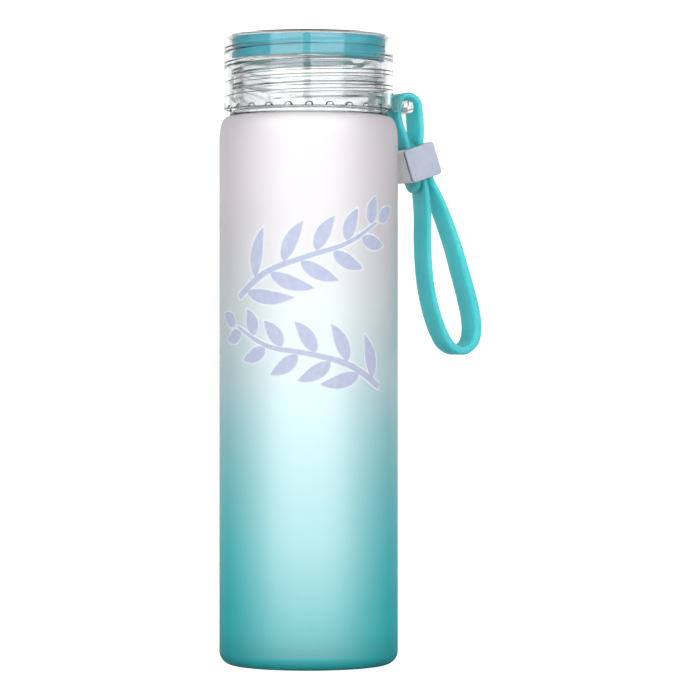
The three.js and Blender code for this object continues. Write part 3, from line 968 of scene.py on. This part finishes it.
def make_print(ink, outline):
    """The sprigs in lilac ink, on a slightly wider layer of white."""
    strokes = [stroke for sprig in SPRIGS for stroke in sprig_strokes(**sprig)]
    wrapped("sprig_print", strokes, 0, OUTLINE_DEPTH + INK_GAP, INK_DEPTH, ink)
    wrapped("sprig_outline", strokes, OUTLINE_MARGIN, INK_GAP, OUTLINE_DEPTH, outline)


# ---------------------------------------------------------------- studio

def make_camera():
    """Level with the middle of the bottle."""
    data = bpy.data.cameras.new("camera")
    data.lens = VIEW_LENS
    data.sensor_width = 36
    camera = bpy.data.objects.new("camera", data)
    turn = Matrix.Rotation(VIEW_AZIMUTH, 4, "Z")
    camera.location = turn @ Vector((VIEW_OFFSET, -VIEW_DISTANCE, VIEW_HEIGHT))
    camera.rotation_euler = (math.pi / 2, 0, VIEW_AZIMUTH)
    bpy.context.scene.collection.objects.link(camera)
    bpy.context.scene.camera = camera


def make_softbox(name, bearing):
    """An area light facing the bottle. bearing is its angle from the camera's side, in degrees."""
    width, tall = SOFTBOX_SIZE
    data = bpy.data.lights.new(name, "AREA")
    data.shape = "RECTANGLE"
    data.size = width
    data.size_y = tall
    data.energy = SOFTBOX_RADIANCE * math.pi * width * tall
    lamp = bpy.data.objects.new(name, data)
    turn = Matrix.Rotation(VIEW_AZIMUTH + math.radians(bearing), 4, "Z")
    lamp.location = turn @ Vector((0, -SOFTBOX_DISTANCE, SOFTBOX_HEIGHT))
    aim = Vector((0, 0, LIGHT_AIM_HEIGHT)) - lamp.location
    lamp.rotation_euler = aim.to_track_quat("-Z", "Y").to_euler()
    lamp.visible_camera = False
    bpy.context.scene.collection.objects.link(lamp)


def make_floor():
    """A large pale floor. It glows away from the bottle, so that the bottle's own shade stays near it."""
    mesh = bpy.data.meshes.new("floor")
    corners = [(x * FLOOR_REACH, y * FLOOR_REACH, 0) for x, y in ((-1, -1), (1, -1), (1, 1), (-1, 1))]
    mesh.from_pydata(corners, [], [(0, 1, 2, 3)])
    finish = Finish("floor", Base_Color=linear("#b4b4b4"), Roughness=0.8, Specular_IOR_Level=0.0,
                    Emission_Color=(1, 1, 1, 1))
    reach = finish.node("ShaderNodeVectorMath", operation="LENGTH")
    finish.link(finish.place(), reach.inputs[0])
    seen = finish.node("ShaderNodeLightPath").outputs["Is Camera Ray"]
    glow = finish.math("MAXIMUM", seen, finish.span(reach.outputs["Value"], *FLOOR_GLOW))
    finish.link(glow, finish.shader.inputs["Emission Strength"])
    mesh.materials.append(finish.material)
    floor = bpy.data.objects.new("floor", mesh)
    bpy.context.scene.collection.objects.link(floor)


def grey_ramp(ramp, stops):
    """Sets a colour ramp to (position, level) stops of grey."""
    elements = ramp.color_ramp.elements
    while len(elements) < len(stops):
        elements.new(0.5)
    for element, (position, level) in zip(elements, stops):
        element.position = position
        element.color = (level, level, level, 1)


def make_world():
    """Bright behind the bottle and in front of it, darker overhead and to the sides."""
    world = bpy.data.worlds.new("studio")
    bpy.context.scene.world = world
    world.use_nodes = True
    tree = world.node_tree
    background = tree.nodes["Background"]
    background.inputs["Color"].default_value = (1, 1, 1, 1)
    place = tree.nodes.new("ShaderNodeTexCoord").outputs["Generated"]
    split = tree.nodes.new("ShaderNodeSeparateXYZ")
    tree.links.new(place, split.inputs["Vector"])
    overhead = tree.nodes.new("ShaderNodeValToRGB")
    grey_ramp(overhead, LIGHT_BY_HEIGHT)
    tree.links.new(split.outputs["Z"], overhead.inputs["Fac"])
    facing = tree.nodes.new("ShaderNodeVectorMath")
    facing.operation = "DOT_PRODUCT"
    facing.inputs[1].default_value = Matrix.Rotation(VIEW_AZIMUTH, 3, "Z") @ Vector((0, 1, 0))
    tree.links.new(place, facing.inputs[0])
    unit = tree.nodes.new("ShaderNodeMapRange")
    unit.inputs["From Min"].default_value = -1
    tree.links.new(facing.outputs["Value"], unit.inputs["Value"])
    around = tree.nodes.new("ShaderNodeValToRGB")
    grey_ramp(around, LIGHT_BY_BEARING)
    tree.links.new(unit.outputs["Result"], around.inputs["Fac"])
    product = tree.nodes.new("ShaderNodeMath")
    product.operation = "MULTIPLY"
    tree.links.new(overhead.outputs["Color"], product.inputs[0])
    tree.links.new(around.outputs["Color"], product.inputs[1])
    seen = tree.nodes.new("ShaderNodeLightPath")
    brighter = tree.nodes.new("ShaderNodeMath")
    brighter.operation = "MAXIMUM"
    tree.links.new(product.outputs["Value"], brighter.inputs[0])
    tree.links.new(seen.outputs["Is Camera Ray"], brighter.inputs[1])
    tree.links.new(brighter.outputs["Value"], background.inputs["Strength"])


def make_studio():
    """Camera, floor, white surroundings and two softboxes in front, with a gap between them."""
    make_camera()
    make_floor()
    make_world()
    make_softbox("left_softbox", -29.5)
    make_softbox("right_softbox", 26.4)
    bpy.context.scene.view_settings.view_transform = "Standard"


make_studio()
make_bottle(frosted_coat(), clear_glass("clear_glass", 0.0, 0.03), clear_glass("inner_glass", 0.1, 0.14))
make_cap(clear_plastic())
make_seal(seal_silicone())
make_strap(strap_silicone())
make_clip(clip_plastic("clip_base_plastic", "#ecebec", "#f4f3f4"),
          clip_plastic("clip_cover_plastic", "#a3a9bb", "#adb3c4"),
          # The land's dark grey-green is painted shade along the clip's seam.
          clip_plastic("clip_painted_seam_shade", "#3f4b4e", "#4a575a"))
make_print(print_ink(), outline_ink())
